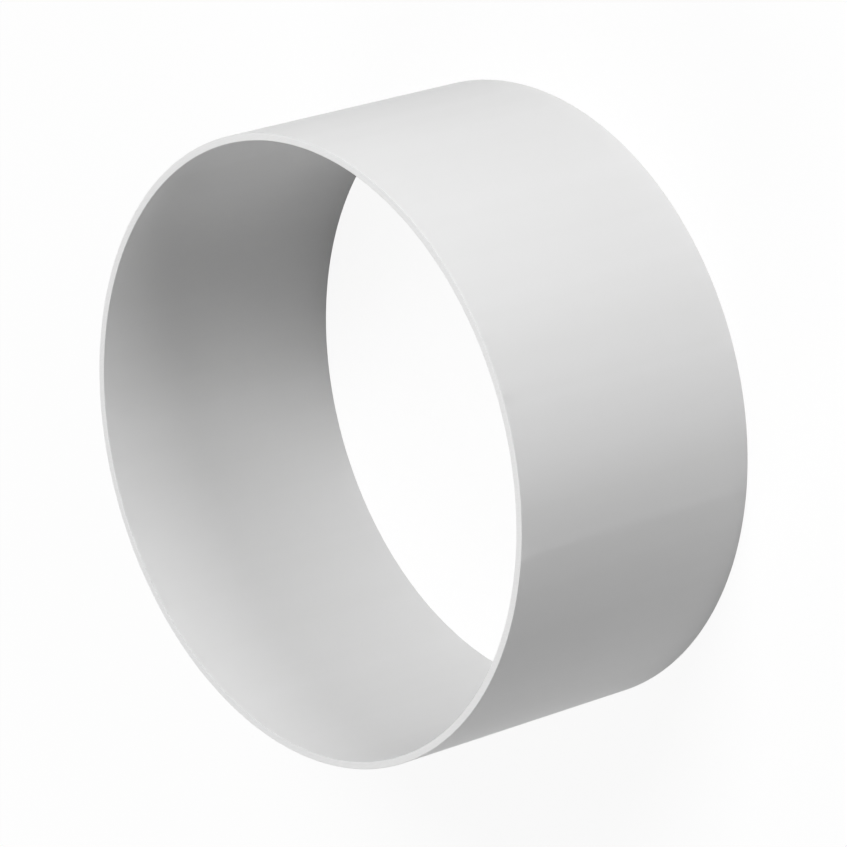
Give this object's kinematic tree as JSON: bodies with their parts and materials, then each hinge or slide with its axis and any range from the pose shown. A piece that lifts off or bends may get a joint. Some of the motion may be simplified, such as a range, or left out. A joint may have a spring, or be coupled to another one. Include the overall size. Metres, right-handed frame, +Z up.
{
  "type": "duct connector",
  "caption": "Plain round plastic sleeve, open at both ends, that joins two round ventilation ducts pushed into its smooth bore.",
  "frame": {"origin": "centre of the bore at the lower end face, on the surface the sleeve stands on", "axes": "+Z up along the bore axis; the sleeve is round, so X and Y are free"},
  "size_m": [0.1284, 0.1284, 0.06],
  "materials": {
    "sleeve": "satin white PVC, extruded smooth inside and out, with plain cut ends"
  },
  "bodies": {
    "root": {"connector_sleeve": "sleeve"}
  },
  "joints": []
}
